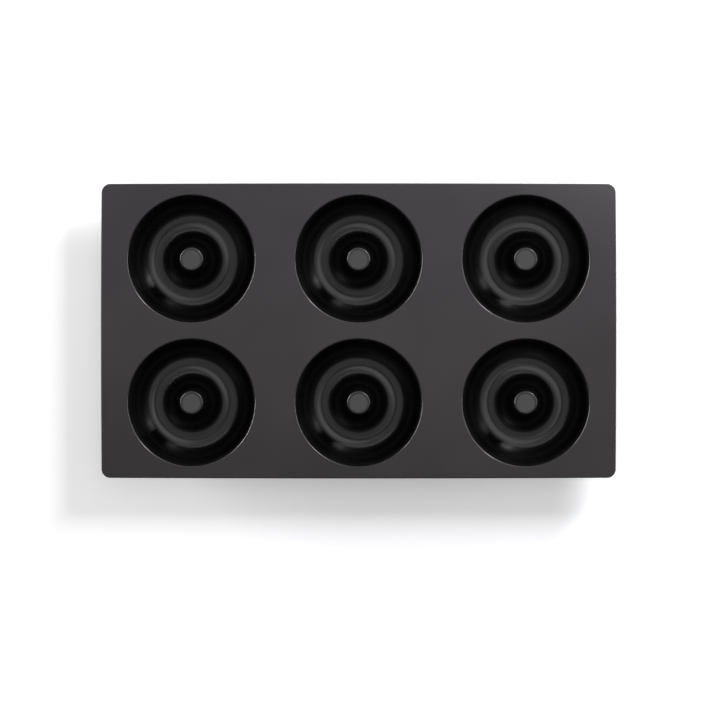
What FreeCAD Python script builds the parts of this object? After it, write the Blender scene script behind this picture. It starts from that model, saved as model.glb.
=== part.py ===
import FreeCAD, Part
import math
import os
import Sketcher

# A doughnut pan, moulded in one shot from one silicone compound.
# A flat flange carries ring-shaped wells in a grid. Each well is a trough of round section between two
# drafted walls: the well's own outer wall, and the wall of a hollow island in its middle. The wells' round
# undersides end in flat land rings, on which the pan stands, and which lie in the plane Z = 0.
# X runs along the pan, Y across it, and the origin is under its middle.

SIZES = {
    # grid of wells and the flange round it
    "columns": 3,
    "rows": 2,
    "column_web": 22.0,
    "row_web": 8.25,
    "end_margin": 14.75,
    "side_margin": 6.125,
    "corner_radius": 5.0,
    "flange_thickness": 3.0,
    "flange_edge_rounding": 0.6,
    # one well, as the dough sees it
    "mouth_diameter": 75.5,
    "mouth_rounding": 0.8,
    "cavity_depth": 26.0,
    "wall_lean": 1.425,
    "island_diameter": 13.4,
    "island_rounding": 0.5,
    "pad_diameter": 10.8,
    "pad_depth": 0.2,
    # the wall round it
    "wall_thickness": 2.2,
    "floor_thickness": 2.0,
    "land_width": 5.0,
    "crown_thickness": 2.4,
}


class Size:
    """A length in millimetres, with the formula on the sheet's cells that it comes from."""

    def __init__(self, value, formula):
        self.value = value
        self.formula = formula

    def joined(self, sign, value, other):
        formula = other.formula if isinstance(other, Size) else str(other)
        return Size(value, f"({self.formula} {sign} {formula})")

    def __add__(self, other):
        return self.joined("+", self.value + number(other), other)

    def __sub__(self, other):
        return self.joined("-", self.value - number(other), other)

    def __mul__(self, other):
        return self.joined("*", self.value * number(other), other)

    def __truediv__(self, other):
        return self.joined("/", self.value / number(other), other)


def number(size):
    """The plain value of a size or of a number."""
    return size.value if isinstance(size, Size) else size


def size(name):
    """A driving dimension by its name on the sheet."""
    return Size(SIZES[name], f"Sizes.{name}")


# Sizes that follow from the driving ones

MOUTH_FACE_R = size("mouth_diameter") / 2
WELL_WALL_R = MOUTH_FACE_R - size("mouth_rounding")
ISLAND_R = size("island_diameter") / 2
COLUMN_PITCH = size("mouth_diameter") + size("column_web")
ROW_PITCH = size("mouth_diameter") + size("row_web")
COLUMN_SPAN = COLUMN_PITCH * (size("columns") - 1)
ROW_SPAN = ROW_PITCH * (size("rows") - 1)
FLANGE_LENGTH = COLUMN_SPAN + size("mouth_diameter") + size("end_margin") * 2
FLANGE_WIDTH = ROW_SPAN + size("mouth_diameter") + size("side_margin") * 2
TOP_Z = size("cavity_depth") + size("floor_thickness")
UNDERSIDE_Z = TOP_Z - size("flange_thickness")
TROUGH_X = (WELL_WALL_R + ISLAND_R) / 2
TROUGH_R = (WELL_WALL_R - ISLAND_R) / 2 - size("wall_lean")
TROUGH_Z = TROUGH_R + size("floor_thickness")
HALF_LAND = size("land_width") / 2


# The sheet, the body, and sketches made of lines and arcs

def make_sheet(doc):
    sheet = doc.addObject("Spreadsheet::Sheet", "Sizes")
    for row, (name, value) in enumerate(SIZES.items(), start=1):
        sheet.set(f"A{row}", name)
        sheet.set(f"B{row}", str(value))
        sheet.setAlias(f"B{row}", name)
    doc.recompute()
    return sheet


def origin_item(body, role):
    """One of the body's own origin planes or axes."""
    return next(item for item in body.Origin.OriginFeatures if item.Role == role)


def new_sketch(body, name, role, offset):
    """A sketch on an origin plane, moved by an offset along the plane's own axes."""
    sketch = body.newObject("Sketcher::SketchObject", name)
    sketch.AttachmentSupport = [(origin_item(body, role), "")]
    sketch.MapMode = "FlatFace"
    shift = FreeCAD.Vector(*(number(length) for length in offset))
    sketch.AttachmentOffset = FreeCAD.Placement(shift, FreeCAD.Rotation())
    for axis, length in zip("xyz", offset):
        if isinstance(length, Size):
            sketch.setExpression(f"AttachmentOffset.Base.{axis}", length.formula)
    return sketch


def fix(sketch, kind, *where, size_wanted):
    """Adds a dimension and binds it to its formula."""
    index = sketch.addConstraint(Sketcher.Constraint(kind, *where, size_wanted.value))
    sketch.setExpression(f"Constraints[{index}]", size_wanted.formula)


def relate(sketch, kind, *where):
    """Adds a constraint that has no value, such as Tangent or Horizontal."""
    sketch.addConstraint(Sketcher.Constraint(kind, *where))


def add_line(sketch, start, end):
    line = Part.LineSegment(FreeCAD.Vector(*start, 0), FreeCAD.Vector(*end, 0))
    return sketch.addGeometry(line, False)


def add_arc(sketch, centre, start, end):
    """An arc that runs anticlockwise about its centre from start to end."""
    radius = math.dist(centre, start)
    circle = Part.Circle(FreeCAD.Vector(*centre, 0), FreeCAD.Vector(0, 0, 1), radius)
    from_angle = math.atan2(start[1] - centre[1], start[0] - centre[0])
    to_angle = math.atan2(end[1] - centre[1], end[0] - centre[0])
    if to_angle <= from_angle:
        to_angle += 2 * math.pi
    return sketch.addGeometry(Part.ArcOfCircle(circle, from_angle, to_angle), False)


ORIGIN = (-1, 1)
START, END, CENTRE = 1, 2, 3


def place_centre(sketch, arc, x, z):
    fix(sketch, "DistanceX", *ORIGIN, arc, CENTRE, size_wanted=x)
    fix(sketch, "DistanceY", *ORIGIN, arc, CENTRE, size_wanted=z)


def cross_tangent(first, first_radius, second, second_radius, side):
    """
    Where the straight wall between two rounds touches them, when it passes between their centres.
    The side is +1 for a wall to the right of the first centre, and -1 for one to its left.
    """
    gap = math.dist(first, second)
    towards = math.atan2(second[1] - first[1], second[0] - first[0])
    angle = towards - side * math.acos((first_radius + second_radius) / gap)
    normal = (math.cos(angle), math.sin(angle))
    on_first = tuple(c + first_radius * n for c, n in zip(first, normal))
    on_second = tuple(c - second_radius * n for c, n in zip(second, normal))
    return on_first, on_second


# The flange

def make_flange(body):
    """A flat plate with rounded corners, whose top and bottom edges are rounded too."""
    sketch = new_sketch(body, "flange_outline", "XY_Plane", (0, 0, UNDERSIDE_Z))
    radius = SIZES["corner_radius"]
    x = FLANGE_LENGTH.value / 2
    y = FLANGE_WIDTH.value / 2
    inner_x = x - radius
    inner_y = y - radius
    sides = [
        add_line(sketch, (-inner_x, -y), (inner_x, -y)),
        add_line(sketch, (x, -inner_y), (x, inner_y)),
        add_line(sketch, (inner_x, y), (-inner_x, y)),
        add_line(sketch, (-x, inner_y), (-x, -inner_y)),
    ]
    corners = [
        add_arc(sketch, (inner_x, -inner_y), (inner_x, -y), (x, -inner_y)),
        add_arc(sketch, (inner_x, inner_y), (x, inner_y), (inner_x, y)),
        add_arc(sketch, (-inner_x, inner_y), (-inner_x, y), (-x, inner_y)),
        add_arc(sketch, (-inner_x, -inner_y), (-x, -inner_y), (-inner_x, -y)),
    ]
    for index, corner in enumerate(corners):
        relate(sketch, "Tangent", sides[index], END, corner, START)
        relate(sketch, "Tangent", corner, END, sides[(index + 1) % 4], START)
    for along, across in (sides[:2], sides[2:]):
        relate(sketch, "Horizontal", along)
        relate(sketch, "Vertical", across)
    relate(sketch, "Symmetric", corners[0], CENTRE, corners[2], CENTRE, *ORIGIN)
    for corner in corners[1:]:
        relate(sketch, "Equal", corners[0], corner)
    fix(sketch, "Radius", corners[0], size_wanted=size("corner_radius"))
    straight_x = FLANGE_LENGTH - size("corner_radius") * 2
    straight_y = FLANGE_WIDTH - size("corner_radius") * 2
    fix(sketch, "DistanceX", sides[0], START, sides[0], END, size_wanted=straight_x)
    fix(sketch, "DistanceY", sides[1], START, sides[1], END, size_wanted=straight_y)

    plate = body.newObject("PartDesign::Pad", "flange_plate")
    plate.Profile = sketch
    plate.setExpression("Length", "Sizes.flange_thickness")
    body.Document.recompute()

    rounding = body.newObject("PartDesign::Fillet", "flange_edges")
    rounding.Base = (plate, outline_edges(plate.Shape))
    rounding.setExpression("Radius", "Sizes.flange_edge_rounding")


def outline_edges(shape):
    """The edges that lie wholly in the plate's top face or its bottom face."""
    return [
        f"Edge{index}"
        for index, edge in enumerate(shape.Edges, start=1)
        if edge.BoundBox.ZLength < 1e-6
    ]


# One well, in the grid's first place

FIRST_WELL_X = COLUMN_SPAN / -2
FIRST_WELL_Y = ROW_SPAN / -2
SECTION_OFFSET = (FIRST_WELL_X, 0, ROW_SPAN / 2)


def make_cup_body(body):
    """The well's outer form, still solid: flat land, round underside, and a wall that ends in the flange."""
    sketch = new_sketch(body, "cup_section", "XZ_Plane", SECTION_OFFSET)
    rim_x = WELL_WALL_R + size("wall_thickness")
    rim = (rim_x.value, TOP_Z.value)
    trough = (TROUGH_X.value, TROUGH_Z.value)
    land_end = ((TROUGH_X + HALF_LAND).value, 0)
    low, high = cross_tangent(trough, math.dist(trough, land_end), rim, 0, +1)

    land = add_line(sketch, (0, 0), land_end)
    underside = add_arc(sketch, trough, land_end, low)
    wall = add_line(sketch, low, high)
    top = add_line(sketch, rim, (0, TOP_Z.value))
    axis = add_line(sketch, (0, TOP_Z.value), (0, 0))

    relate(sketch, "Coincident", land, START, *ORIGIN)
    relate(sketch, "Horizontal", land)
    fix(sketch, "DistanceX", land, START, land, END, size_wanted=TROUGH_X + HALF_LAND)
    relate(sketch, "Coincident", land, END, underside, START)
    place_centre(sketch, underside, TROUGH_X, TROUGH_Z)
    relate(sketch, "Tangent", underside, END, wall, START)
    relate(sketch, "Coincident", wall, END, top, START)
    relate(sketch, "Horizontal", top)
    fix(sketch, "DistanceX", axis, START, top, START, size_wanted=rim_x)
    relate(sketch, "Coincident", top, END, axis, START)
    relate(sketch, "Coincident", axis, END, *ORIGIN)
    relate(sketch, "Vertical", axis)
    fix(sketch, "DistanceY", axis, END, axis, START, size_wanted=TOP_Z)
    return turned(body, "PartDesign::Revolution", "cup_body", sketch)


def make_ring_cavity(body):
    """The ring-shaped hollow that the dough fills: a round trough between the two drafted walls."""
    sketch = new_sketch(body, "ring_section", "XZ_Plane", SECTION_OFFSET)
    trough = (TROUGH_X.value, TROUGH_Z.value)
    mouth_z = TOP_Z - size("mouth_rounding")
    island_x = ISLAND_R - size("island_rounding")
    island_z = TOP_Z - size("island_rounding")
    mouth = (MOUTH_FACE_R.value, mouth_z.value)
    island = (island_x.value, island_z.value)
    radius = TROUGH_R.value
    outer_low, outer_high = cross_tangent(trough, radius, mouth, SIZES["mouth_rounding"], +1)
    inner_low, inner_high = cross_tangent(trough, radius, island, SIZES["island_rounding"], -1)
    mouth_top = (mouth[0], TOP_Z.value)
    island_top = (island[0], TOP_Z.value)

    floor = add_arc(sketch, trough, inner_low, outer_low)
    outer_wall = add_line(sketch, outer_low, outer_high)
    mouth_arc = add_arc(sketch, mouth, mouth_top, outer_high)
    opening = add_line(sketch, mouth_top, island_top)
    island_arc = add_arc(sketch, island, inner_high, island_top)
    inner_wall = add_line(sketch, inner_high, inner_low)

    relate(sketch, "Tangent", floor, END, outer_wall, START)
    relate(sketch, "Tangent", outer_wall, END, mouth_arc, END)
    relate(sketch, "Tangent", mouth_arc, START, opening, START)
    relate(sketch, "Tangent", opening, END, island_arc, END)
    relate(sketch, "Tangent", island_arc, START, inner_wall, START)
    relate(sketch, "Tangent", inner_wall, END, floor, START)
    place_centre(sketch, floor, TROUGH_X, TROUGH_Z)
    place_centre(sketch, mouth_arc, MOUTH_FACE_R, mouth_z)
    place_centre(sketch, island_arc, island_x, island_z)
    fix(sketch, "Radius", floor, size_wanted=TROUGH_R)
    fix(sketch, "Radius", mouth_arc, size_wanted=size("mouth_rounding"))
    fix(sketch, "Radius", island_arc, size_wanted=size("island_rounding"))
    return turned(body, "PartDesign::Groove", "ring_cavity", sketch)


def make_island_hollow(body):
    """The hollow under the island, which keeps the island's wall as thin as the rest."""
    sketch = new_sketch(body, "hollow_section", "XZ_Plane", SECTION_OFFSET)
    crown_x = ISLAND_R - size("wall_thickness")
    crown_z = TOP_Z - size("crown_thickness")
    crown = (crown_x.value, crown_z.value)
    trough = (TROUGH_X.value, TROUGH_Z.value)
    land_start = ((TROUGH_X - HALF_LAND).value, 0)
    low, high = cross_tangent(trough, math.dist(trough, land_start), crown, 0, -1)

    base = add_line(sketch, (0, 0), land_start)
    underside = add_arc(sketch, trough, low, land_start)
    wall = add_line(sketch, low, high)
    ceiling = add_line(sketch, crown, (0, crown_z.value))
    axis = add_line(sketch, (0, crown_z.value), (0, 0))

    relate(sketch, "Coincident", base, START, *ORIGIN)
    relate(sketch, "Horizontal", base)
    fix(sketch, "DistanceX", base, START, base, END, size_wanted=TROUGH_X - HALF_LAND)
    relate(sketch, "Coincident", base, END, underside, END)
    place_centre(sketch, underside, TROUGH_X, TROUGH_Z)
    relate(sketch, "Tangent", underside, START, wall, START)
    relate(sketch, "Coincident", wall, END, ceiling, START)
    relate(sketch, "Horizontal", ceiling)
    fix(sketch, "DistanceX", axis, START, ceiling, START, size_wanted=crown_x)
    relate(sketch, "Coincident", ceiling, END, axis, START)
    relate(sketch, "Coincident", axis, END, *ORIGIN)
    relate(sketch, "Vertical", axis)
    fix(sketch, "DistanceY", axis, END, axis, START, size_wanted=crown_z)
    return turned(body, "PartDesign::Groove", "island_hollow", sketch)


def turned(body, kind, name, sketch):
    """A full turn of a section about its own upright axis."""
    feature = body.newObject(kind, name)
    feature.Profile = sketch
    feature.ReferenceAxis = (sketch, ["V_Axis"])
    feature.Angle = 360
    return feature


def make_island_pad(body):
    """The shallow round step that the tool's insert leaves in the island's flat top."""
    sketch = new_sketch(body, "pad_outline", "XY_Plane", (FIRST_WELL_X, FIRST_WELL_Y, TOP_Z))
    radius = size("pad_diameter") / 2
    circle = Part.Circle(FreeCAD.Vector(0, 0, 0), FreeCAD.Vector(0, 0, 1), radius.value)
    outline = sketch.addGeometry(circle, False)
    relate(sketch, "Coincident", outline, CENTRE, *ORIGIN)
    fix(sketch, "Radius", outline, size_wanted=radius)
    step = body.newObject("PartDesign::Pocket", "island_pad")
    step.Profile = sketch
    step.setExpression("Length", "Sizes.pad_depth")
    return step


def repeat_in_grid(body, features):
    """Repeats the well along X and then along Y."""
    grid = body.newObject("PartDesign::LinearPattern", "well_grid")
    grid.Originals = features
    grid.Direction = (origin_item(body, "X_Axis"), [""])
    grid.setExpression("Length", COLUMN_SPAN.formula)
    grid.setExpression("Occurrences", "Sizes.columns")
    grid.Direction2 = (origin_item(body, "Y_Axis"), [""])
    grid.setExpression("Length2", ROW_SPAN.formula)
    grid.setExpression("Occurrences2", "Sizes.rows")
    body.Tip = grid


# The pan

def make_pan(doc):
    body = doc.addObject("PartDesign::Body", "doughnut_mould")
    body.Label = "doughnut_mould"
    make_flange(body)
    well = [
        make_cup_body(body),
        make_ring_cavity(body),
        make_island_hollow(body),
        make_island_pad(body),
    ]
    doc.recompute()
    repeat_in_grid(body, well)
    doc.recompute()
    body.Placement = FreeCAD.Placement()
    return body


def check(doc, body):
    """Stops before anything is written if a feature failed or the pan isn't one sound solid."""
    for item in doc.Objects:
        if "Invalid" in item.State or "Error" in item.State:
            raise RuntimeError(f"{item.Name} failed: {item.State}")
        if item.TypeId == "Sketcher::SketchObject" and not item.FullyConstrained:
            raise RuntimeError(f"{item.Name} isn't fully constrained")
    shape = body.Shape
    if shape.isNull() or not shape.isValid() or len(shape.Solids) != 1:
        raise RuntimeError(f"{body.Label} isn't one sound solid")


doc = FreeCAD.newDocument("doughnut_pan")
make_sheet(doc)
pan = make_pan(doc)
check(doc, pan)
os.makedirs("parts", exist_ok=True)
pan.Shape.exportStep(f"parts/{pan.Label}.step")

box = pan.Shape.BoundBox
volume_cm3 = pan.Shape.Volume / 1000
print(f"{pan.Label}: {box.XLength:.2f} x {box.YLength:.2f} x {box.ZLength:.2f} mm, {volume_cm3:.1f} cm3")
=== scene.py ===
import math

import bpy
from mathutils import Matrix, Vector


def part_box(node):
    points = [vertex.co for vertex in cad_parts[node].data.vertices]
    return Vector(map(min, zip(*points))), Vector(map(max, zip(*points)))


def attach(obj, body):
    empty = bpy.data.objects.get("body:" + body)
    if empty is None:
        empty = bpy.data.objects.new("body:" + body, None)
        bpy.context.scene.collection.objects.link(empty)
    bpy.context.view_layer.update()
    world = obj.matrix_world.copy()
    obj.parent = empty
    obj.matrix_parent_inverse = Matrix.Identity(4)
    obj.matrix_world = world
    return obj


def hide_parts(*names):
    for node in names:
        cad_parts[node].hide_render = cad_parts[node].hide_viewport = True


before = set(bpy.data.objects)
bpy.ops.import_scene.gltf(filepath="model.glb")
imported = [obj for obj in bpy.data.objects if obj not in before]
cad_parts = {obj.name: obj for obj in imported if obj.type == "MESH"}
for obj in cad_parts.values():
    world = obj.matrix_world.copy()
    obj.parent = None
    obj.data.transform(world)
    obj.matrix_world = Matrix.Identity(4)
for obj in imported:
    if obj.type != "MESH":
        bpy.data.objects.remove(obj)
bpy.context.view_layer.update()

# The pan is one piece of black silicone, pressed in one shot between two halves of a mould.
# A flat flange carries six ring-shaped wells, each round a hollow island. The wells' mouths, the islands'
# tops and the flange's edge are slightly rounded, as they leave the mould.

MM = 0.001

pan_low, pan_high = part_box("doughnut_mould")
flange_length = pan_high.x - pan_low.x
flange_width = pan_high.y - pan_low.y
flange_top = pan_high.z
flange_thickness = 3.0 * MM
flange_underside = flange_top - flange_thickness
flange_edge_rounding = 0.6 * MM
flange_corner_radius = 5.0 * MM
flange_bow = 0.4 * MM

columns = 3
rows = 2
column_pitch = 97.5 * MM
row_pitch = 83.75 * MM

mouth_radius = 37.75 * MM
mouth_rounding = 0.8 * MM
island_radius = 6.7 * MM
island_rounding = 0.7 * MM
pad_radius = 5.4 * MM
pad_depth = 0.08 * MM
pad_rounding = 0.66 * MM
floor_thickness = 2.0 * MM
wall_thickness = 2.2 * MM
wall_lean = 1.425 * MM
half_land = 2.5 * MM
crown_thickness = 2.4 * MM
crown_rounding = 1.6 * MM
root_rounding = 1.5 * MM

# The trough's round fills the gap between the two walls, less what each wall leans in
well_wall_radius = mouth_radius - mouth_rounding
trough_r = (well_wall_radius + island_radius) / 2
trough_radius = (well_wall_radius - island_radius) / 2 - wall_lean
trough_z = trough_radius + floor_thickness
underside_radius = math.hypot(half_land, trough_z)

# Beside each rounding the flat or straight stretch has one more row of points, which keeps its shading flat
support = 0.15 * MM

# Each point of a section carries its finish, and the material blends from one to the next
POLISHED, SATIN, MATT, CHALKY = 1.0, 0.3, 0.0, -1.0


def angle_to(centre, point):
    return math.atan2(point[1] - centre[1], point[0] - centre[0])


def arc(centre, radius, first, last, finish, last_finish=None, *, steps):
    """Points of a section along an arc, from one angle to another, and from one finish to another."""
    last_finish = finish if last_finish is None else last_finish
    points = []
    for step in range(steps + 1):
        a = first + (last - first) * step / steps
        here = finish + (last_finish - finish) * step / steps
        points.append((centre[0] + radius * math.cos(a), centre[1] + radius * math.sin(a), here))
    return points


def straight(start, end, finish):
    """The support points just inside the two ends of a straight stretch."""
    share = support / math.dist(start[:2], end[:2])
    return [
        (start[0] + (end[0] - start[0]) * t, start[1] + (end[1] - start[1]) * t, finish)
        for t in (share, 1 - share)
    ]


def cross_tangent(first, first_radius, second, second_radius, side):
    """The angle, at the first centre, of the straight wall that passes between two rounds."""
    gap = math.dist(first, second)
    return angle_to(first, second) - side * math.acos((first_radius + second_radius) / gap)


def walled_corner(centre, radius, corner, ceiling, rounding, side):
    """The angle of the straight wall from a round up to a corner, and the middle of its top rounding."""
    wall = angle_to(centre, corner) - side * math.acos(radius / math.dist(centre, corner))
    z = ceiling - rounding
    r = centre[0] + (radius + rounding - (z - centre[1]) * math.sin(wall)) / math.cos(wall)
    return wall, (r, z)


def joined(*stretches):
    """One section from its curved stretches, with support points on the straight lines between them."""
    points = list(stretches[0])
    for stretch in stretches[1:]:
        finish = max(points[-1][2], stretch[0][2])
        points += straight(points[-1], stretch[0], finish)
        points += stretch
    return points


def well_section():
    """The moulded face from the island's middle, down through the trough and out to the flange."""
    trough = (trough_r, trough_z)
    island = (island_radius - island_rounding, flange_top - island_rounding)
    mouth = (mouth_radius, flange_top - mouth_rounding)
    inner = cross_tangent(trough, trough_radius, island, island_rounding, -1) - 2 * math.pi
    outer = cross_tangent(trough, trough_radius, mouth, mouth_rounding, +1)
    pad_z = flange_top - pad_depth
    slope = math.acos(1 - pad_depth / (2 * pad_rounding))
    half_shoulder = pad_rounding * math.sin(slope)
    foot = (pad_radius - half_shoulder, pad_z + pad_rounding)
    brow = (pad_radius + half_shoulder, flange_top - pad_rounding)
    return joined(
        [(0, pad_z, CHALKY)],
        arc(foot, pad_rounding, -math.pi / 2, slope - math.pi / 2, CHALKY, POLISHED, steps=3)
        + arc(brow, pad_rounding, slope + math.pi / 2, math.pi / 2, POLISHED, SATIN, steps=3)[1:],
        arc(island, island_rounding, math.pi / 2, inner + math.pi, SATIN, POLISHED, steps=6),
        arc(trough, trough_radius, inner, outer, POLISHED, steps=34),
        arc(mouth, mouth_rounding, outer + math.pi, math.pi / 2, POLISHED, SATIN, steps=7),
        [(mouth_radius + 2 * support, flange_top, MATT)],
    )


def underside_section():
    """The face below: up inside the hollow island, round under the trough and up to the flange."""
    trough = (trough_r, trough_z)
    crown_height = flange_top - crown_thickness
    hollow_corner = (island_radius - wall_thickness, crown_height)
    cup_corner = (well_wall_radius + wall_thickness, flange_top)
    inner, crown = walled_corner(trough, underside_radius, hollow_corner, crown_height, crown_rounding, -1)
    outer, root = walled_corner(trough, underside_radius, cup_corner, flange_underside, root_rounding, +1)
    inner -= 2 * math.pi
    land = math.asin(half_land / underside_radius)
    return joined(
        [(0, crown_height, MATT)],
        arc(crown, crown_rounding, math.pi / 2, inner + math.pi, MATT, steps=6),
        arc(trough, underside_radius, inner, -math.pi / 2 - land, MATT, steps=10),
        arc(trough, underside_radius, -math.pi / 2 + land, outer, MATT, steps=10),
        arc(root, root_rounding, outer + math.pi, math.pi / 2, MATT, steps=5),
        [(root[0] + 2 * support, flange_underside, MATT)],
    )


def edge_section():
    """The flange's edge from its top face round to its underside. Lengths inwards are negative."""
    inset = flange_edge_rounding
    high = (-inset, flange_top - inset)
    low = (-inset, flange_underside + inset)
    return joined(
        [(-inset - 2 * support, flange_top, MATT)],
        arc(high, inset, math.pi / 2, 0, MATT, steps=6),
        arc(low, inset, 0, -math.pi / 2, MATT, steps=6),
        [(-inset - 2 * support, flange_underside, MATT)],
    )


def turn_path(steps):
    """Places and outward directions for one full turn about the well's own axis."""
    angles = [2 * math.pi * i / steps for i in range(steps)]
    return [((0, 0, 0), (math.cos(a), math.sin(a), 0)) for a in angles]


def outline_path(corner_steps, side_steps):
    """Places and outward directions round the flange, anticlockwise from the far end of its right side."""
    centre_x = flange_length / 2 - flange_corner_radius
    centre_y = flange_width / 2 - flange_corner_radius
    centres = [(centre_x, centre_y), (-centre_x, centre_y), (-centre_x, -centre_y), (centre_x, -centre_y)]
    path = []
    for quarter, (x, y) in enumerate(centres):
        for step in range(corner_steps + 1):
            a = (quarter + step / corner_steps) * math.pi / 2
            out = (math.cos(a), math.sin(a), 0)
            path.append(((x + flange_corner_radius * out[0], y + flange_corner_radius * out[1], 0), out))
        start, out = path[-1]
        next_x, next_y = centres[(quarter + 1) % 4]
        end = (next_x + flange_corner_radius * out[0], next_y + flange_corner_radius * out[1], 0)
        for step in range(1, side_steps):
            t = step / side_steps
            path.append((tuple(s + (e - s) * t for s, e in zip(start, end)), out))
    return path


def guide(name, points, closed, **attributes):
    """A line of points that the node tree reads its shape from, with values stored on the points."""
    count = len(points)
    edges = [(i, (i + 1) % count) for i in range(count if closed else count - 1)]
    mesh = bpy.data.meshes.new(name)
    mesh.from_pydata(points, edges, [])
    for key, values in attributes.items():
        is_vector = isinstance(values[0], tuple)
        stored = mesh.attributes.new(key, "FLOAT_VECTOR" if is_vector else "FLOAT", "POINT")
        flat = [number for value in values for number in value] if is_vector else values
        stored.data.foreach_set("vector" if is_vector else "value", flat)
    made = bpy.data.objects.new(name, mesh)
    bpy.context.scene.collection.objects.link(made)
    return made


def section_guide(name, section):
    """A section as a guide, with the length run along it and the finish at each point."""
    run = [0.0]
    for before, after in zip(section, section[1:]):
        run.append(run[-1] + math.dist(before[:2], after[:2]))
    points = [(r, 0, z) for r, z, _ in section]
    return guide(name, points, closed=False, finish=[finish for _, _, finish in section], run=run)


def path_guide(name, path):
    """A closed path as a guide, with the outward direction at each point."""
    return guide(name, [place for place, _ in path], closed=True, outwards=[out for _, out in path])


class Wire:
    """An output of a node. Maths written on it adds the Math nodes that work it out."""

    def __init__(self, tree, socket):
        self.tree = tree
        self.socket = socket

    @staticmethod
    def node(tree, kind, settings, sockets, output=0):
        """Adds a node: its settings first, then the values or the wires of its sockets."""
        made = tree.nodes.new(kind)
        for name, value in settings.items():
            setattr(made, name, value)
        for key, value in sockets.items():
            socket = next(
                s for i, s in enumerate(made.inputs) if key in (i, s.name, s.identifier) and s.enabled)
            for given in value if isinstance(value, list) else [value]:
                if isinstance(given, Wire):
                    tree.links.new(given.socket, socket)
                else:
                    socket.default_value = given
        return Wire(tree, made.outputs[output])

    def maths(self, operation, *values):
        return Wire.node(self.tree, "ShaderNodeMath", {"operation": operation}, dict(enumerate(values)))

    def __add__(self, other):
        return self.maths("ADD", self, other)

    def __radd__(self, other):
        return self.maths("ADD", other, self)

    def __sub__(self, other):
        return self.maths("SUBTRACT", self, other)

    def __rsub__(self, other):
        return self.maths("SUBTRACT", other, self)

    def __mul__(self, other):
        return self.maths("MULTIPLY", self, other)

    def __rmul__(self, other):
        return self.maths("MULTIPLY", other, self)

    def __truediv__(self, other):
        return self.maths("DIVIDE", self, other)

    def __rtruediv__(self, other):
        return self.maths("DIVIDE", other, self)

    def __pow__(self, other):
        return self.maths("POWER", self, other)

    def __rpow__(self, other):
        return self.maths("POWER", other, self)

    def floor(self):
        return self.maths("FLOOR", self)

    def positive(self):
        """The number where it is above 0, and 0 elsewhere."""
        return self.maths("MAXIMUM", self, 0)

    def part(self, axis):
        """One of the three numbers of a vector."""
        return Wire.node(self.tree, "ShaderNodeSeparateXYZ", {}, {0: self}, axis)


def stored_value(tree, name, data_type):
    return Wire.node(tree, "GeometryNodeInputNamedAttribute", {"data_type": data_type}, {"Name": name})


def sampled(tree, source, value, index, data_type):
    """The value that one point of a guide has."""
    return Wire.node(
        tree, "GeometryNodeSampleIndex", {"data_type": data_type, "domain": "POINT"},
        {"Geometry": source, "Value": value, "Index": index},
    )


def vector(tree, x, y, z):
    return Wire.node(tree, "ShaderNodeCombineXYZ", {}, {0: x, 1: y, 2: z})


def swept(tree, path, section, facing_up):
    """The sheet that a section leaves as it follows a closed path, with its finish stored on it."""
    across = Wire.node(tree, "GeometryNodeAttributeDomainSize", {}, {"Geometry": section})
    along = Wire.node(tree, "GeometryNodeAttributeDomainSize", {}, {"Geometry": path})
    grid = Wire.node(tree, "GeometryNodeMeshGrid", {}, {"Vertices X": along + 1, "Vertices Y": across})

    # The grid's points run through the section's places, once for each step of the path
    index = Wire.node(tree, "GeometryNodeInputIndex", {}, {})
    step = ((index + 0.5) / across).floor()
    place = index - step * across
    turn = step.maths("FLOORED_MODULO", step, along)

    position = Wire.node(tree, "GeometryNodeInputPosition", {}, {})
    centre = sampled(tree, path, position, turn, "FLOAT_VECTOR")
    out = sampled(tree, path, stored_value(tree, "outwards", "FLOAT_VECTOR"), turn, "FLOAT_VECTOR")
    point = sampled(tree, section, position, place, "FLOAT_VECTOR")
    run = sampled(tree, section, stored_value(tree, "run", "FLOAT"), place, "FLOAT")
    finish = sampled(tree, section, stored_value(tree, "finish", "FLOAT"), place, "FLOAT")

    reach = point.part(0)
    x = centre.part(0) + out.part(0) * reach
    y = centre.part(1) + out.part(1) * reach
    on_skin = vector(tree, x, y, point.part(2))
    sheet = Wire.node(tree, "GeometryNodeSetPosition", {}, {"Geometry": grid, "Position": on_skin})
    for name, data_type, value in (
        ("finish", "FLOAT", finish),
        ("turn", "FLOAT_VECTOR", vector(tree, out.part(0), out.part(1), run)),
    ):
        sheet = Wire.node(
            tree, "GeometryNodeStoreNamedAttribute", {"data_type": data_type, "domain": "POINT"},
            {"Geometry": sheet, "Name": name, "Value": value},
        )
    if facing_up:
        sheet = Wire.node(tree, "GeometryNodeFlipFaces", {}, {"Mesh": sheet})
    return sheet


def loop_at(tree, path, reach):
    """A closed curve that lies a constant distance outwards from a path."""
    out = stored_value(tree, "outwards", "FLOAT_VECTOR")
    offset = vector(tree, out.part(0) * reach, out.part(1) * reach, 0)
    moved = Wire.node(tree, "GeometryNodeSetPosition", {}, {"Geometry": path, "Offset": offset})
    return Wire.node(tree, "GeometryNodeMeshToCurve", {}, {"Mesh": moved})


def on_grid(tree, geometry, places):
    """The same piece at each of the wells' places."""
    copies = Wire.node(tree, "GeometryNodeInstanceOnPoints", {}, {"Points": places, "Instance": geometry})
    return Wire.node(tree, "GeometryNodeRealizeInstances", {}, {"Geometry": copies})


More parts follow.
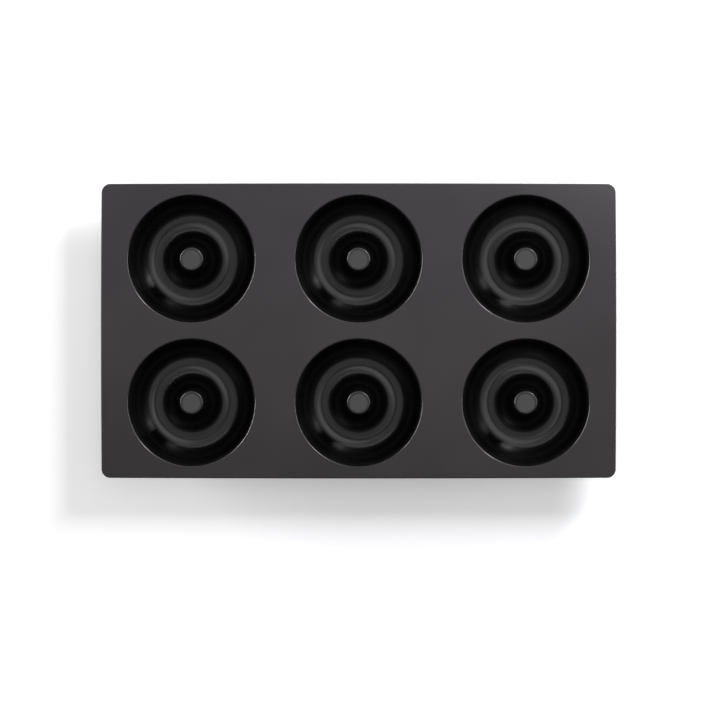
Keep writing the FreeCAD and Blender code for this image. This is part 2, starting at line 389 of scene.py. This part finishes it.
def flange_face(tree, outline, outline_reach, turn, hole_reach, places, height):
    """The flat face between the flange's edge and the wells, filled round the wells."""
    holes = on_grid(tree, loop_at(tree, turn, hole_reach), places)
    border = loop_at(tree, outline, outline_reach)
    curves = Wire.node(tree, "GeometryNodeJoinGeometry", {}, {"Geometry": [holes, border]})
    face = Wire.node(tree, "GeometryNodeFillCurve", {"mode": "TRIANGLES"}, {"Curve": curves})
    lift = vector(tree, 0, 0, height)
    return Wire.node(tree, "GeometryNodeTransform", {}, {"Geometry": face, "Translation": lift})


def pan_tree(inputs):
    """The node tree of the pan. The inputs are the names and kinds of its guides, sizes and material."""
    tree = bpy.data.node_groups.new("moulded_pan", "GeometryNodeTree")
    tree.interface.new_socket("Geometry", in_out="INPUT", socket_type="NodeSocketGeometry")
    tree.interface.new_socket("Geometry", in_out="OUTPUT", socket_type="NodeSocketGeometry")
    for name, kind in inputs.items():
        tree.interface.new_socket(name, in_out="INPUT", socket_type=kind)
    entry = tree.nodes.new("NodeGroupInput")
    given = {name: Wire(tree, entry.outputs[name]) for name in inputs}
    shape = {
        name: Wire.node(tree, "GeometryNodeObjectInfo", {}, {"Object": given[name]}, "Geometry")
        for name in ("Well section", "Underside section", "Edge section", "Turn", "Outline")
    }

    places = Wire.node(
        tree, "GeometryNodeMeshGrid", {},
        {
            "Size X": given["Column pitch"] * (given["Columns"] - 1),
            "Size Y": given["Row pitch"] * (given["Rows"] - 1),
            "Vertices X": given["Columns"],
            "Vertices Y": given["Rows"],
        },
    )
    well = Wire.node(
        tree, "GeometryNodeJoinGeometry", {},
        {"Geometry": [
            swept(tree, shape["Turn"], shape["Well section"], facing_up=True),
            swept(tree, shape["Turn"], shape["Underside section"], facing_up=False),
        ]},
    )
    wells = on_grid(tree, well, places)
    edge = swept(tree, shape["Outline"], shape["Edge section"], facing_up=True)
    inset = given["Edge reach"] * -1
    top = flange_face(
        tree, shape["Outline"], inset, shape["Turn"], given["Mouth reach"], places, given["Top height"])
    underside = flange_face(
        tree, shape["Outline"], inset, shape["Turn"], given["Root reach"], places, given["Underside height"])
    underside = Wire.node(tree, "GeometryNodeFlipFaces", {}, {"Mesh": underside})
    skin = Wire.node(tree, "GeometryNodeJoinGeometry", {}, {"Geometry": [wells, edge, top, underside]})
    skin = Wire.node(tree, "GeometryNodeMergeByDistance", {}, {"Geometry": skin, "Distance": given["Weld"]})

    # The flange's sides bow out a little in the middle, and the fifth power leaves the wells in place
    position = Wire.node(tree, "GeometryNodeInputPosition", {}, {})
    along = position.part(0) / given["Half length"]
    across = position.part(1) / given["Half width"]
    bow_x = given["Bow"] * along ** 5 * (1 - across * across)
    bow_y = given["Bow"] * across ** 5 * (1 - along * along)
    skin = Wire.node(
        tree, "GeometryNodeSetPosition", {}, {"Geometry": skin, "Offset": vector(tree, bow_x, bow_y, 0)})
    skin = Wire.node(tree, "GeometryNodeSetShadeSmooth", {}, {"Geometry": skin, "Shade Smooth": True})
    skin = Wire.node(tree, "GeometryNodeRealizeInstances", {}, {"Geometry": skin})
    skin = Wire.node(tree, "GeometryNodeSetMaterial", {}, {"Geometry": skin, "Material": given["Material"]})
    leave = tree.nodes.new("NodeGroupOutput")
    tree.links.new(skin.socket, leave.inputs["Geometry"])
    return tree


def silicone():
    """
    Black silicone. The mould's eroded faces leave it matt, with a fine grain. Its turned and polished well
    inserts leave the troughs with a clear gloss over a haze, and with faint lines that run round each well.
    The steep walls drag along the inserts as the pan is pulled off, so they have only the haze.
    The islands' tops are rubbed paler than the flange. The flange is a little paler in the middle than at its
    ends; painted light makes it paler and bluer at the back, painted shade makes it darker towards the right,
    and a painted sheen makes it palest at its far right corner.
    """
    material = bpy.data.materials.new("black_silicone")
    material.use_nodes = True
    tree = material.node_tree
    tree.nodes.clear()
    place = Wire.node(tree, "ShaderNodeTexCoord", {}, {}, "Object")
    finish = Wire.node(tree, "ShaderNodeAttribute", {"attribute_name": "finish"}, {}, "Fac")
    turn = Wire.node(tree, "ShaderNodeAttribute", {"attribute_name": "turn"}, {}, "Vector")
    facing = Wire.node(tree, "ShaderNodeNewGeometry", {}, {}, "Normal")

    def noise(where, scale, detail):
        return Wire.node(tree, "ShaderNodeTexNoise", {}, {"Vector": where, "Scale": scale, "Detail": detail})

    def hump(value, reach):
        """1 where the value is 0, falling off to 0 at the reach on both sides."""
        share = value / reach
        return (1 - share * share).positive()

    cloud = noise(place, scale=18.0, detail=2.0)
    grain = noise(place, scale=2600.0, detail=3.0)
    rings_in_metre = 900.0
    waver = 0.6
    ring_place = vector(tree, turn.part(0) * waver, turn.part(1) * waver, turn.part(2) * rings_in_metre)
    rings = noise(ring_place, scale=1.0, detail=2.0)

    # The stored finish is above 0 on a polished face and below 0 on a chalky one
    polish = finish.positive()
    chalk = (finish * -1).positive()
    matt_share = 1 - polish
    flange_share = matt_share - chalk

    # The trough's faces look further up than the steep walls do
    trough = Wire.node(
        tree, "ShaderNodeMapRange", {},
        {"Value": facing.part(2), "From Min": 0.35, "From Max": 0.6},
    )

    # A grey bloom lies on the flange in soft clouds, and the flange is paler in the middle. Painted light
    # makes it paler and bluer towards the back, and painted shade makes it darker towards the right.
    flange_grey = 0.0215
    trough_grey = 0.0006
    chalk_grey = 0.044
    # The grey of the painted sheen at the flange's far right corner
    painted_sheen_grey = 0.034
    red_share = 1.05
    green_share = 0.89
    # The flange turns bluer towards the back: a painted tint of light
    blue_share_with_painted_tint = 0.95 + place.part(1) * 1.2
    middle = hump(place.part(0), reach=0.13) * hump(place.part(1), reach=0.065)
    # Painted sheen: the flange grows paler towards its far right corner, where the key lamp's light falls
    to_corner = place.part(0) / flange_length + place.part(1) / flange_width
    corner = to_corner.positive() ** 5
    # Besides the clouds and the paler middle: painted light towards the back, painted shade towards the right
    bloom_and_painted_light = 0.5 + cloud * 0.9 + middle * 0.3 + place.part(1) * 2.6 - place.part(0) * 0.3
    grey = bloom_and_painted_light * flange_share * flange_grey + polish * trough_grey
    # The islands' rubbed tops, and the painted sheen at the flange's far right corner
    chalk_and_painted_sheen = chalk * chalk_grey + flange_share * corner * painted_sheen_grey
    colour = vector(tree, grey * red_share + chalk_and_painted_sheen, grey * green_share + chalk_and_painted_sheen, grey * blue_share_with_painted_tint + chalk_and_painted_sheen)

    matt_roughness = 0.5 + cloud * 0.1
    polished_roughness = 0.34 - trough * 0.15 + rings * 0.1
    roughness = matt_share * matt_roughness + polish * polished_roughness
    grain_depth = 0.02
    ring_depth = 0.08
    height = matt_share * grain * grain_depth + polish * rings * ring_depth
    bump = Wire.node(tree, "ShaderNodeBump", {}, {"Strength": 0.5, "Distance": MM, "Height": height})
    surface = Wire.node(
        tree, "ShaderNodeBsdfPrincipled", {},
        {
            "Base Color": colour, "Roughness": roughness, "IOR": 1.45, "Normal": bump,
            "Coat Weight": polish * trough * rings * 0.9, "Coat Roughness": 0.14,
        },
    )
    leave = tree.nodes.new("ShaderNodeOutputMaterial")
    tree.links.new(surface.socket, leave.inputs["Surface"])
    return material


guides = {
    "Well section": section_guide("well_section", well_section()),
    "Underside section": section_guide("underside_section", underside_section()),
    "Edge section": section_guide("edge_section", edge_section()),
    "Turn": path_guide("turn", turn_path(steps=144)),
    "Outline": path_guide("outline", outline_path(corner_steps=10, side_steps=24)),
}
sizes = {
    "Columns": columns,
    "Rows": rows,
    "Column pitch": column_pitch,
    "Row pitch": row_pitch,
    "Half length": flange_length / 2,
    "Half width": flange_width / 2,
    "Top height": flange_top,
    "Underside height": flange_underside,
    "Edge reach": flange_edge_rounding + 2 * support,
    "Mouth reach": well_section()[-1][0],
    "Root reach": underside_section()[-1][0],
    "Bow": flange_bow,
    "Weld": 0.002 * MM,
}
black_silicone = silicone()
kinds = {name: "NodeSocketObject" for name in guides}
for name, size in sizes.items():
    kinds[name] = "NodeSocketInt" if isinstance(size, int) else "NodeSocketFloat"
kinds["Material"] = "NodeSocketMaterial"
tree = pan_tree(kinds)

# A blank object runs the tree, and what comes out of it is kept as a plain mesh
blank = bpy.data.objects.new("blank", bpy.data.meshes.new("blank"))
bpy.context.scene.collection.objects.link(blank)
maker = blank.modifiers.new("moulded_pan", "NODES")
maker.node_group = tree
identifiers = {item.name: item.identifier for item in tree.interface.items_tree if item.in_out == "INPUT"}
for name, value in (guides | sizes | {"Material": black_silicone}).items():
    maker[identifiers[name]] = value
moulded = bpy.data.meshes.new_from_object(blank.evaluated_get(bpy.context.evaluated_depsgraph_get()))
moulded.name = "doughnut_pan"
for helper in [blank, *guides.values()]:
    bpy.data.objects.remove(helper)
bpy.data.node_groups.remove(tree)

pan = bpy.data.objects.new("doughnut_pan", moulded)
bpy.context.scene.collection.objects.link(pan)
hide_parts("doughnut_mould")
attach(pan, "root")


# The floor is a wide, plain white sheet. The pan stands on it and shades it.
# To the camera it is white wherever no shadow falls, and clear from below, which shows the pan's underside.

floor_half = 3.0
floor_corners = [(-1, -1), (1, -1), (1, 1), (-1, 1)]
floor_mesh = bpy.data.meshes.new("floor")
floor_mesh.from_pydata([(x * floor_half, y * floor_half, 0) for x, y in floor_corners], [], [(0, 1, 2, 3)])
floor = bpy.data.objects.new("floor", floor_mesh)
bpy.context.scene.collection.objects.link(floor)

paper = bpy.data.materials.new("white_floor")
paper.use_nodes = True
paper_tree = paper.node_tree
paper_tree.nodes.clear()
seen = Wire.node(paper_tree, "ShaderNodeLightPath", {}, {}, "Is Camera Ray")
floor_place = Wire.node(paper_tree, "ShaderNodeTexCoord", {}, {}, "Object")
from_pan = Wire.node(paper_tree, "ShaderNodeVectorMath", {"operation": "LENGTH"}, {0: floor_place}, "Value")

# The lamps' light falls off away from the pan, and the floor's own glow makes up for it
lit_reach = 0.35
unlit_reach = 0.9
glow_beside_pan = 0.325
whiteness = Wire.node(
    paper_tree, "ShaderNodeMapRange", {},
    {
        "Value": from_pan, "From Min": lit_reach, "From Max": unlit_reach,
        "To Min": glow_beside_pan, "To Max": 1.0,
    },
)
matt_white = Wire.node(paper_tree, "ShaderNodeBsdfDiffuse", {}, {"Color": (0.8, 0.8, 0.8, 1)})
glow = Wire.node(paper_tree, "ShaderNodeEmission", {}, {"Color": whiteness, "Strength": seen})
white = Wire.node(paper_tree, "ShaderNodeAddShader", {}, {0: matt_white, 1: glow})
clear = Wire.node(paper_tree, "ShaderNodeBsdfTransparent", {}, {})
from_below = Wire.node(paper_tree, "ShaderNodeNewGeometry", {}, {}, "Backfacing")
one_sided = Wire.node(paper_tree, "ShaderNodeMixShader", {}, {0: from_below, 1: white, 2: clear})
leave = paper_tree.nodes.new("ShaderNodeOutputMaterial")
paper_tree.links.new(one_sided.socket, leave.inputs["Surface"])
floor_mesh.materials.append(paper)


# The light is that of a small studio: a pale ceiling with a brighter patch towards the key lamp and a thin
# bright strip at its far edge, dark walls, and a pale screen low on the far side. The tall soft key lamp is
# beyond the pan's far right corner, so the shadow falls to the near left. A low lamp stands on each side.

room = bpy.data.worlds.new("white_room")
bpy.context.scene.world = room
room.use_nodes = True
room_tree = room.node_tree
room_tree.nodes.clear()
seen = Wire.node(room_tree, "ShaderNodeLightPath", {}, {}, "Is Camera Ray")
direction = Wire.node(room_tree, "ShaderNodeTexCoord", {}, {}, "Generated")
sideways = direction.part(0)
backwards = direction.part(1)
upwards = direction.part(2)
ceiling_light = 0.46
patch_light = 0.85
strip_light = 3.5
wall_light = 0.1
screen_light = 3.5


def rise(value, low, high):
    """Goes smoothly from 0 to 1 between two values."""
    return Wire.node(
        room_tree, "ShaderNodeMapRange", {"interpolation_type": "SMOOTHSTEP"},
        {"Value": value, "From Min": low, "From Max": high},
    )


ceiling = rise(upwards, low=0.79, high=0.85)
towards_patch = sideways * 0.16 + backwards * 0.16 + upwards * 0.974
patch = rise(towards_patch, low=0.963, high=0.985)
towards_strip = sideways * -0.342 + backwards * 0.94
strip = rise(upwards, low=0.79, high=0.805) - rise(upwards, low=0.805, high=0.82)
strip = strip * rise(towards_strip, low=0.42, high=0.5)
screen = (1 - rise(upwards, low=0.12, high=0.28)) * rise(backwards, low=-0.3, high=0.6)
light = wall_light + ceiling * ceiling_light + patch * patch_light
light = light + screen * screen_light + strip * strip_light
sky = Wire.node(
    room_tree, "ShaderNodeBackground", {},
    {"Color": (1, 1, 1, 1), "Strength": seen + (1 - seen) * light},
)
leave = room_tree.nodes.new("ShaderNodeOutputWorld")
room_tree.links.new(sky.socket, leave.inputs["Surface"])


def lamp(name, width, height, light_on_pan, azimuth, elevation, distance):
    """
    A soft lamp that faces the pan. Its azimuth runs anticlockwise from the picture's right, and its light is
    what a sheet that faces it gets at the pan's place.
    """
    data = bpy.data.lights.new(name, "AREA")
    data.shape = "RECTANGLE"
    data.size = width
    data.size_y = height
    data.energy = math.pi * distance ** 2 * light_on_pan
    made = bpy.data.objects.new(name, data)
    bpy.context.scene.collection.objects.link(made)
    a, e = math.radians(azimuth), math.radians(elevation)
    towards_lamp = Vector((math.cos(a) * math.cos(e), math.sin(a) * math.cos(e), math.sin(e)))
    made.location = Vector((0, 0, flange_top)) + towards_lamp * distance
    made.rotation_euler = towards_lamp.to_track_quat("Z", "Y").to_euler()
    return made


key = lamp("key", width=0.3, height=0.7, light_on_pan=3.1, azimuth=47, elevation=35, distance=1.8)
key.data.color = (0.95, 0.95, 1)
lamp("left", width=1.5, height=0.3, light_on_pan=5.0, azimuth=160, elevation=6, distance=1.8)
lamp("right", width=1.0, height=0.3, light_on_pan=1.3, azimuth=8, elevation=6, distance=1.8)


# The camera looks straight down from about two metres, a little towards the viewer from the pan's middle,
# so that the pan stands above the middle of the picture.

camera_height = 2.1
camera_right = 0.0008
camera_forward = 0.017
picture_width = 0.42
camera = bpy.data.cameras.new("camera")
camera.angle = 2 * math.atan(picture_width / 2 / (camera_height - flange_top))
camera_object = bpy.data.objects.new("camera", camera)
bpy.context.scene.collection.objects.link(camera_object)
camera_object.location = (camera_right, -camera_forward, camera_height)
bpy.context.scene.camera = camera_object

# The camera's dark body hangs over the pan, and the wells mirror it as a thin dark ring
body_radius = 0.22
body_sides = 32
body_above_lens = 0.06
body_turns = [2 * math.pi * i / body_sides for i in range(body_sides)]
body_rim = [(body_radius * math.cos(a), body_radius * math.sin(a), 0) for a in body_turns]
body_mesh = bpy.data.meshes.new("camera_body")
body_mesh.from_pydata(body_rim, [], [list(range(body_sides))])
camera_body = bpy.data.objects.new("camera_body", body_mesh)
bpy.context.scene.collection.objects.link(camera_body)
camera_body.location = camera_object.location + Vector((0, 0, body_above_lens))
camera_body.visible_camera = camera_body.visible_diffuse = camera_body.visible_shadow = False
black = bpy.data.materials.new("camera_black")
black.use_nodes = True
black.node_tree.nodes["Principled BSDF"].inputs["Base Color"].default_value = (0.01, 0.01, 0.01, 1)
body_mesh.materials.append(black)
bpy.context.scene.view_settings.view_transform = "Standard"
